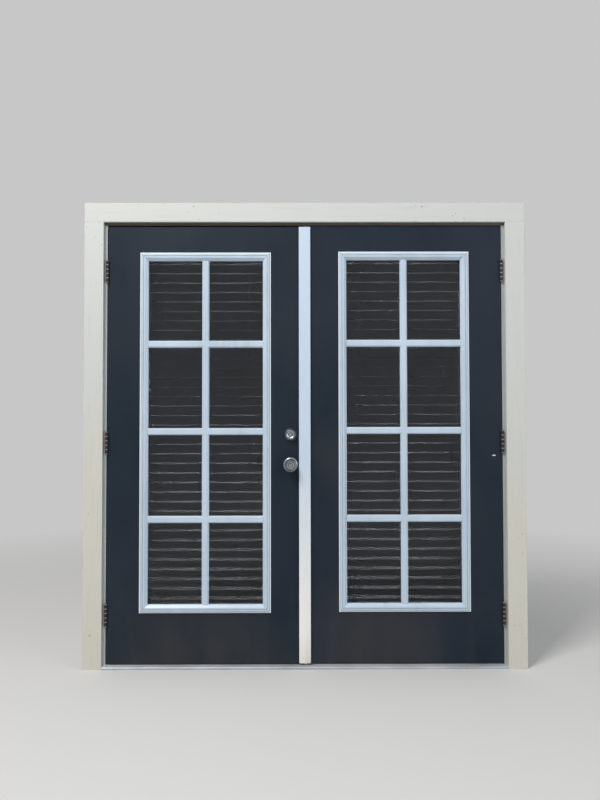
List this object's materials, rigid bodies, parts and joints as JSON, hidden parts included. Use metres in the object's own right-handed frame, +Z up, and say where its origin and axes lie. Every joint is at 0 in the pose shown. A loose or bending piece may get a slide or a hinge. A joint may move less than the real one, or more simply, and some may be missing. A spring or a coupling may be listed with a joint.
{
  "type": "french doors",
  "caption": "Pair of outward-opening glazed doors in a trimmed frame, with divided lights, a meeting strip, knob, deadbolt and inside blinds.",
  "frame": {"origin": "underside of the threshold, halfway between the jambs, at the middle of the jambs' depth", "axes": "+Z up, +Y into the house, +X to the right seen from outside"},
  "size_m": [2.0526, 0.1868, 2.16],
  "materials": {
    "leaf_paint": "satin charcoal blue paint",
    "casing_paint": "painted boards",
    "frame_paint": "painted wood",
    "astragal_paint": "satin white",
    "lite_plastic": "moulded white plastic",
    "sill_metal": "mill finish",
    "seal": "matt",
    "hinge_metal": "tarnished",
    "lock_metal": "satin nickel",
    "bolt_steel": "brushed",
    "glass": "clear",
    "blind_white": "satin"
  },
  "bodies": {
    "frame": {"left_jamb": "frame_paint", "right_jamb": "frame_paint", "head_jamb": "frame_paint", "threshold": "sill_metal", "left_casing": "casing_paint", "right_casing": "casing_paint", "head_casing": "casing_paint", "left_weatherstrip": "seal", "right_weatherstrip": "seal", "head_weatherstrip": "seal", "hinge_pins": "hinge_metal", "left_lower_hinge_jamb_plate": "hinge_metal", "left_middle_hinge_jamb_plate": "hinge_metal", "left_upper_hinge_jamb_plate": "hinge_metal", "right_lower_hinge_jamb_plate": "hinge_metal", "right_middle_hinge_jamb_plate": "hinge_metal", "right_upper_hinge_jamb_plate": "hinge_metal"},
    "left_door": {"left_lower_hinge_leaf_plate": "hinge_metal", "left_middle_hinge_leaf_plate": "hinge_metal", "left_upper_hinge_leaf_plate": "hinge_metal", "left_leaf": "leaf_paint", "left_outer_lite_frame": "lite_plastic", "left_inner_lite_frame": "lite_plastic", "left_outer_grille": "lite_plastic", "left_glass": "glass", "left_sweep": "seal", "left_blind_headrail": "blind_white", "left_blind_slats": "blind_white", "left_blind_bottom_rail": "blind_white", "left_blind_cords": "blind_white", "astragal": "astragal_paint", "outer_rose": "lock_metal", "inner_rose": "lock_metal", "latch_case": "bolt_steel", "deadbolt_collar": "lock_metal", "thumbturn_plate": "lock_metal", "deadbolt_case": "bolt_steel"},
    "right_door": {"right_lower_hinge_leaf_plate": "hinge_metal", "right_middle_hinge_leaf_plate": "hinge_metal", "right_upper_hinge_leaf_plate": "hinge_metal", "right_leaf": "leaf_paint", "right_outer_lite_frame": "lite_plastic", "right_inner_lite_frame": "lite_plastic", "right_outer_grille": "lite_plastic", "right_glass": "glass", "right_sweep": "seal", "right_blind_headrail": "blind_white", "right_blind_slats": "blind_white", "right_blind_bottom_rail": "blind_white", "right_blind_cords": "blind_white", "latch_strike": "bolt_steel", "deadbolt_strike": "bolt_steel"},
    "knob": {"outer_knob": "lock_metal", "inner_knob": "lock_metal"},
    "latch": {"latch_bolt": "bolt_steel"},
    "deadbolt_turn": {"key_plug": "bolt_steel", "thumbturn": "lock_metal"},
    "deadbolt_slide": {"dead_bolt": "bolt_steel"},
    "upper_bolt": {"upper_flush_bolt": "bolt_steel"},
    "lower_bolt": {"lower_flush_bolt": "bolt_steel"}
  },
  "joints": [
    {"name": "left_swing", "type": "hinge", "parent": "frame", "child": "left_door", "pos_m": [-0.92175, -0.065, 1.05], "axis": [0, 0, -1], "range_deg": [0, 120]},
    {"name": "right_swing", "type": "hinge", "parent": "frame", "child": "right_door", "pos_m": [0.92175, -0.065, 1.05], "axis": [0, 0, 1], "range_deg": [0, 120]},
    {"name": "knob_turn", "type": "hinge", "parent": "left_door", "child": "knob", "pos_m": [-0.06625, -0.058, 0.938], "axis": [0, 1, 0], "range_deg": [0, 60]},
    {"name": "latch_slide", "type": "slide", "parent": "left_door", "child": "latch", "axis": [1, 0, 0], "range_m": [0, 0.012]},
    {"name": "deadbolt_key_turn", "type": "hinge", "parent": "left_door", "child": "deadbolt_turn", "pos_m": [-0.06625, -0.058, 1.078], "axis": [0, 1, 0], "range_deg": [0, 90]},
    {"name": "deadbolt_throw", "type": "slide", "parent": "left_door", "child": "deadbolt_slide", "axis": [1, 0, 0], "range_m": [0, 0.024]},
    {"name": "upper_bolt_slide", "type": "slide", "parent": "right_door", "child": "upper_bolt", "axis": [0, 0, 1], "range_m": [0, 0.014]},
    {"name": "lower_bolt_slide", "type": "slide", "parent": "right_door", "child": "lower_bolt", "axis": [0, 0, -1], "range_m": [0, 0.014]}
  ],
  "couplings": [
    {"joint": "right_swing", "follows": "left_swing", "ratio": 1},
    {"joint": "latch_slide", "follows": "knob_turn", "m_per_rad": 0.01145},
    {"joint": "deadbolt_key_turn", "follows": "deadbolt_throw", "rad_per_m": 65.4}
  ]
}
